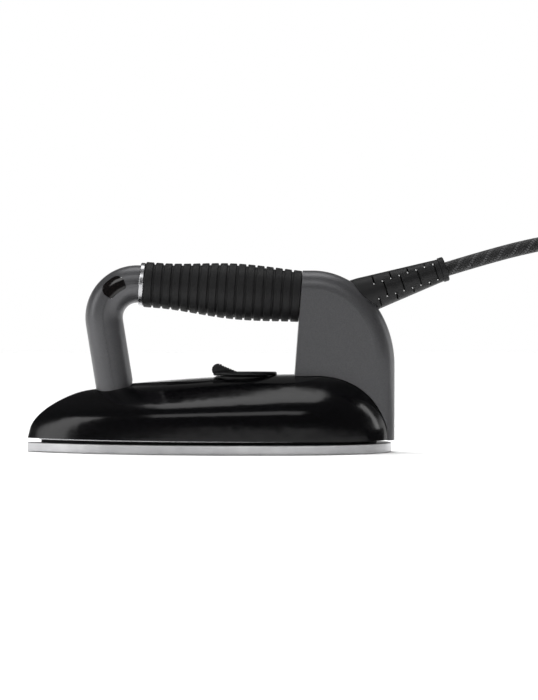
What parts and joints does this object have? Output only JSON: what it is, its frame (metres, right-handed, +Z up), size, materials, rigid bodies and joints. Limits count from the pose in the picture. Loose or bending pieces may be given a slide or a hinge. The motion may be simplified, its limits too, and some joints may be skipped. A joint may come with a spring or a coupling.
{
  "type": "clothes iron",
  "caption": "Dry clothes iron with an aluminium soleplate, glossy cover, bent tube handle with a ribbed grip, turning heat selector and a textile cord to a two-pin plug.",
  "frame": {"origin": "middle of the iron's length on the plane that the soleplate stands on, cord and plug left out", "axes": "+X along the length towards the heel and the cord, +Y across, +Z up"},
  "size_m": [0.4806, 0.1552, 0.1454],
  "materials": {
    "aluminium_sole": "brushed, satin",
    "aluminium_polished": "polished",
    "aluminium_cast": "as cast",
    "foil_aluminium": "bright sheet",
    "black_gloss": "gloss",
    "black_matte": "matte",
    "black_satin": "satin",
    "grey_paint": "satin metallic paint",
    "grip_rubber": "matte, ribbed",
    "boot_rubber": "matte",
    "cord_braid": "braided textile, flecked",
    "wire_cover": "smooth",
    "smoked_lens": "smoked, polished",
    "lamp_glass": "clear",
    "steel": "zinc plated",
    "steel_sheath": "oxidised",
    "brass": "satin",
    "ceramic_white": "unglazed",
    "grey_nylon": "natural nylon"
  },
  "bodies": {
    "body": {"anchor_block": "aluminium_cast", "arm_inner_shell": "grey_paint", "arm_outer_shell": "grey_paint", "arm_pivot_pin": "steel", "bimetal": "steel", "bracket_screws": "steel", "bridge": "steel", "bridge_screws": "steel", "cable_clamp": "grey_nylon", "clamp_screws": "steel", "collar_ring": "aluminium_polished", "contact_block": "ceramic_white", "cord": "cord_braid", "cord_coil": "cord_braid", "cord_cores": "wire_cover", "cord_tail": "cord_braid", "cord_tie": "black_matte", "cover": "black_gloss", "earth_screw": "steel", "earth_tag": "brass", "element_pins": "steel", "element_seals": "ceramic_white", "fixed_contact": "brass", "grip": "grip_rubber", "grip_core": "black_matte", "handle_bar": "steel", "heat_shield": "foil_aluminium", "heating_element": "steel_sheath", "housing_bolts": "steel", "housing_far": "grey_paint", "housing_near": "grey_paint", "housing_screws": "steel", "inner_wires": "wire_cover", "lamp_holder": "grey_nylon", "lamp_leads": "wire_cover", "lamp_lens_far": "smoked_lens", "lamp_lens_near": "smoked_lens", "leg_anchor": "aluminium_cast", "leg_bolt": "steel", "neck_ring": "black_matte", "pilot_lamp": "lamp_glass", "plug_body": "boot_rubber", "plug_earth_strips": "steel", "plug_pins": "steel", "push_pin": "ceramic_white", "selector_seat": "black_satin", "soleplate": "aluminium_sole", "spacer_tubes": "steel", "spindle_bush": "brass", "standoffs": "steel", "strain_relief": "boot_rubber", "terminal_block": "grey_nylon", "terminal_screws": "brass", "thermal_fuse": "aluminium_polished", "thermostat_bracket": "steel", "wire_grommet": "boot_rubber"},
    "dial": {"dial": "black_satin", "dial_clip": "steel", "spindle": "brass"},
    "contact_arm": {"contact_arm": "brass"}
  },
  "joints": [
    {"name": "dial_turn", "type": "hinge", "parent": "body", "child": "dial", "pos_m": [0.0226, 0, 0.05], "axis": [0, 0, 1], "range_deg": [-120, 120]},
    {"name": "contact_arm_tilt", "type": "hinge", "parent": "body", "child": "contact_arm", "pos_m": [0.036, 0, 0.018], "axis": [0, 1, 0], "range_deg": [-1.3, 1.3]}
  ],
  "couplings": [
    {"joint": "contact_arm_tilt", "follows": "dial_turn", "ratio": 0.0095}
  ]
}
